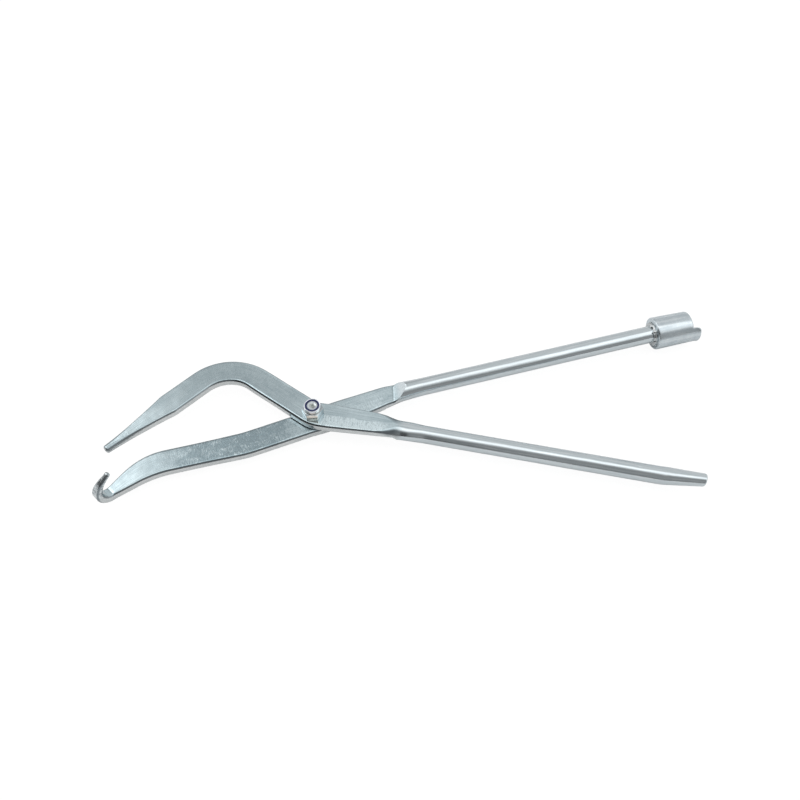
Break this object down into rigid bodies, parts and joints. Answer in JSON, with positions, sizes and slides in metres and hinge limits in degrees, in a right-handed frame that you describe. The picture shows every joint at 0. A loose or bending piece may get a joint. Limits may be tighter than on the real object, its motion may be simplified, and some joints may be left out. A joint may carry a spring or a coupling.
{
  "type": "brake spring pliers",
  "caption": "Brake spring pliers with crossed forged levers on a pivot bolt, an upturned hook, a blunt pin, a tapered installing tip and a spring removal socket",
  "frame": {"origin": "centre of the bolt head's resting face, on the pivot axis; the bolt head's underside is the lowest face at the pivot", "axes": "+X runs from the jaws to the handles along the length of the tool, +Z runs along the pivot axis from the bolt head to the lock nut, +Y points to the side of the hump and of the removal socket"},
  "size_m": [0.3224, 0.1221, 0.0267],
  "materials": {
    "zinc_hook_lever": "bright zinc plated forged steel, fine brushed grain on the flats",
    "zinc_pin_lever": "bright zinc plated forged steel, fine brushed grain on the flats",
    "zinc_bolt": "zinc plated steel bolt",
    "zinc_nut": "bright zinc plated steel nut",
    "nylon": "dark blue nylon",
    "zinc_socket": "bright zinc plated turned steel",
    "zinc_weld": "zinc plated weld bead, uneven"
  },
  "bodies": {
    "hook_side": {"hook_lever": "zinc_hook_lever", "pivot_bolt": "zinc_bolt", "lock_nut": "zinc_nut", "nylon_insert": "nylon", "removal_socket": "zinc_socket", "socket_weld": "zinc_weld"},
    "pin_side": {"pin_lever": "zinc_pin_lever"}
  },
  "joints": [
    {"name": "jaw_pivot", "type": "hinge", "parent": "hook_side", "child": "pin_side", "pos_m": [0, 0, 0.01117], "axis": [0, 0, 1], "range_deg": [-108, 16]}
  ]
}
